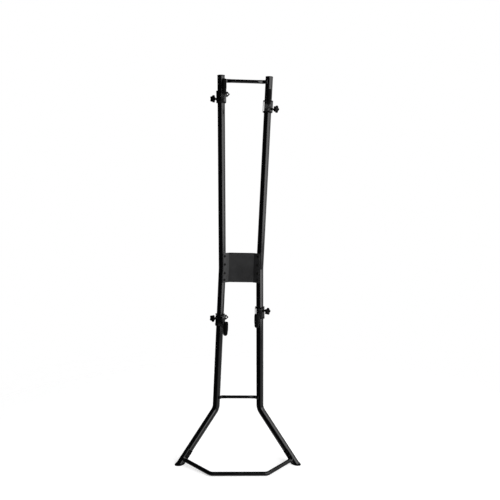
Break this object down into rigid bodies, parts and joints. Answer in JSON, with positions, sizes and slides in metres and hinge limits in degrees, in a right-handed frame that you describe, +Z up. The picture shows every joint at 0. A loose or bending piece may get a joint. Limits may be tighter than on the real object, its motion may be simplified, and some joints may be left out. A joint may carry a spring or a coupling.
{
  "type": "bike storage rack",
  "caption": "Tall stand for hanging bikes: bent tube legs, joint plate and height-adjustable hooked arms clamped by star knobs; it stands on the floor and leans on a wall.",
  "frame": {"origin": "on the floor, at the middle of the rack's width and depth", "axes": "+Z up, -Y to the front where the arms point, +X to the right seen from the front"},
  "size_m": [0.6924, 0.3467, 2.1044],
  "materials": {
    "powder_coated_steel": "semi-gloss black powder coat",
    "black_rubber": "matte",
    "black_plastic": "satin moulded",
    "zinc_steel": "bright zinc plate"
  },
  "bodies": {
    "root": {"upper_tube_left": "powder_coated_steel", "upper_tube_right": "powder_coated_steel", "lower_tube_left": "powder_coated_steel", "lower_tube_right": "powder_coated_steel", "tube_cap_left": "black_plastic", "tube_cap_right": "black_plastic", "foot_boot_left": "black_plastic", "foot_boot_right": "black_plastic", "joint_plate": "powder_coated_steel", "crossbar_upper": "powder_coated_steel", "crossbar_lower": "powder_coated_steel", "front_bar": "powder_coated_steel", "wall_pad_left": "black_rubber", "wall_pad_right": "black_rubber", "wall_pad_screw_left": "zinc_steel", "wall_pad_screw_right": "zinc_steel", "joint_bolt_left_1": "powder_coated_steel", "joint_bolt_left_2": "powder_coated_steel", "joint_bolt_left_3": "powder_coated_steel", "joint_bolt_left_4": "powder_coated_steel", "front_bar_bolt_left_1": "powder_coated_steel", "front_bar_bolt_left_2": "powder_coated_steel", "crossbar_bolt_upper_left": "powder_coated_steel", "crossbar_bolt_lower_left": "powder_coated_steel", "joint_bolt_right_1": "powder_coated_steel", "joint_bolt_right_2": "powder_coated_steel", "joint_bolt_right_3": "powder_coated_steel", "joint_bolt_right_4": "powder_coated_steel", "front_bar_bolt_right_1": "powder_coated_steel", "front_bar_bolt_right_2": "powder_coated_steel", "crossbar_bolt_upper_right": "powder_coated_steel", "crossbar_bolt_lower_right": "powder_coated_steel"},
    "slider_upper_left": {"bush_upper_left": "black_plastic"},
    "carriage_upper_left": {"bracket_upper_left": "powder_coated_steel", "arm_upper_left": "powder_coated_steel", "arm_sleeve_upper_left": "black_rubber", "arm_cap_upper_left": "black_rubber"},
    "pad_upper_left": {"clamp_pad_upper_left": "black_plastic"},
    "knob_upper_left": {"knob_upper_left": "black_plastic"},
    "slider_upper_right": {"bush_upper_right": "black_plastic"},
    "carriage_upper_right": {"bracket_upper_right": "powder_coated_steel", "arm_upper_right": "powder_coated_steel", "arm_sleeve_upper_right": "black_rubber", "arm_cap_upper_right": "black_rubber"},
    "pad_upper_right": {"clamp_pad_upper_right": "black_plastic"},
    "knob_upper_right": {"knob_upper_right": "black_plastic"},
    "slider_lower_left": {"bush_lower_left": "black_plastic"},
    "carriage_lower_left": {"bracket_lower_left": "powder_coated_steel", "arm_lower_left": "powder_coated_steel", "arm_sleeve_lower_left": "black_rubber", "arm_cap_lower_left": "black_rubber"},
    "pad_lower_left": {"clamp_pad_lower_left": "black_plastic"},
    "knob_lower_left": {"knob_lower_left": "black_plastic"},
    "slider_lower_right": {"bush_lower_right": "black_plastic"},
    "carriage_lower_right": {"bracket_lower_right": "powder_coated_steel", "arm_lower_right": "powder_coated_steel", "arm_sleeve_lower_right": "black_rubber", "arm_cap_lower_right": "black_rubber"},
    "pad_lower_right": {"clamp_pad_lower_right": "black_plastic"},
    "knob_lower_right": {"knob_lower_right": "black_plastic"}
  },
  "joints": [
    {"name": "height_upper_left", "type": "slide", "parent": "root", "child": "slider_upper_left", "axis": [-0.0245, 0, 0.9997], "range_m": [-0.79, 0.03]},
    {"name": "swivel_upper_left", "type": "hinge", "parent": "slider_upper_left", "child": "carriage_upper_left", "pos_m": [-0.12658, 0.13625, 1.989], "axis": [-0.0245, 0, 0.9997], "range_deg": [-12, 8]},
    {"name": "pad_travel_upper_left", "type": "slide", "parent": "carriage_upper_left", "child": "pad_upper_left", "axis": [-0.7568, -0.6534, -0.0186], "range_m": [0, 0.00251]},
    {"name": "knob_turn_upper_left", "type": "hinge", "parent": "pad_upper_left", "child": "knob_upper_left", "pos_m": [-0.17013, 0.09835, 1.97393], "axis": [-0.7568, -0.6534, -0.0186], "range_deg": [0, 720]},
    {"name": "height_upper_right", "type": "slide", "parent": "root", "child": "slider_upper_right", "axis": [0.0245, 0, 0.9997], "range_m": [-0.745, 0.07]},
    {"name": "swivel_upper_right", "type": "hinge", "parent": "slider_upper_right", "child": "carriage_upper_right", "pos_m": [0.1255, 0.13625, 1.945], "axis": [0.0245, 0, 0.9997], "range_deg": [-8, 12]},
    {"name": "pad_travel_upper_right", "type": "slide", "parent": "carriage_upper_right", "child": "pad_upper_right", "axis": [0.7371, -0.6756, -0.0181], "range_m": [0, 0.00251]},
    {"name": "knob_turn_upper_right", "type": "hinge", "parent": "pad_upper_right", "child": "knob_upper_right", "pos_m": [0.16791, 0.09707, 1.92996], "axis": [0.7371, -0.6756, -0.0181], "range_deg": [0, 720]},
    {"name": "height_lower_left", "type": "slide", "parent": "root", "child": "slider_lower_left", "axis": [0.026, 0, 0.9997], "range_m": [-0.388, 0.157]},
    {"name": "swivel_lower_left", "type": "hinge", "parent": "slider_lower_left", "child": "carriage_lower_left", "pos_m": [-0.11129, 0.13625, 0.772], "axis": [0.026, 0, 0.9997], "range_deg": [-12, 8]},
    {"name": "pad_travel_lower_left", "type": "slide", "parent": "carriage_lower_left", "child": "pad_lower_left", "axis": [-0.7239, -0.6896, 0.0188], "range_m": [0, 0.00251]},
    {"name": "knob_turn_lower_left", "type": "hinge", "parent": "pad_lower_left", "child": "knob_lower_left", "pos_m": [-0.15291, 0.09625, 0.78709], "axis": [-0.7239, -0.6896, 0.0188], "range_deg": [0, 720]},
    {"name": "height_lower_right", "type": "slide", "parent": "root", "child": "slider_lower_right", "axis": [-0.026, 0, 0.9997], "range_m": [-0.43, 0.115]},
    {"name": "swivel_lower_right", "type": "hinge", "parent": "slider_lower_right", "child": "carriage_lower_right", "pos_m": [0.11017, 0.13625, 0.815], "axis": [-0.026, 0, 0.9997], "range_deg": [-8, 12]},
    {"name": "pad_travel_lower_right", "type": "slide", "parent": "carriage_lower_right", "child": "pad_lower_right", "axis": [0.6982, -0.7157, 0.0182], "range_m": [0, 0.00251]},
    {"name": "knob_turn_lower_right", "type": "hinge", "parent": "pad_lower_right", "child": "knob_lower_right", "pos_m": [0.1503, 0.09474, 0.83005], "axis": [0.6982, -0.7157, 0.0182], "range_deg": [0, 720]}
  ],
  "couplings": [
    {"joint": "pad_travel_upper_left", "follows": "knob_turn_upper_left", "m_per_rad": 0.00019894},
    {"joint": "pad_travel_upper_right", "follows": "knob_turn_upper_right", "m_per_rad": 0.00019894},
    {"joint": "pad_travel_lower_left", "follows": "knob_turn_lower_left", "m_per_rad": 0.00019894},
    {"joint": "pad_travel_lower_right", "follows": "knob_turn_lower_right", "m_per_rad": 0.00019894}
  ]
}
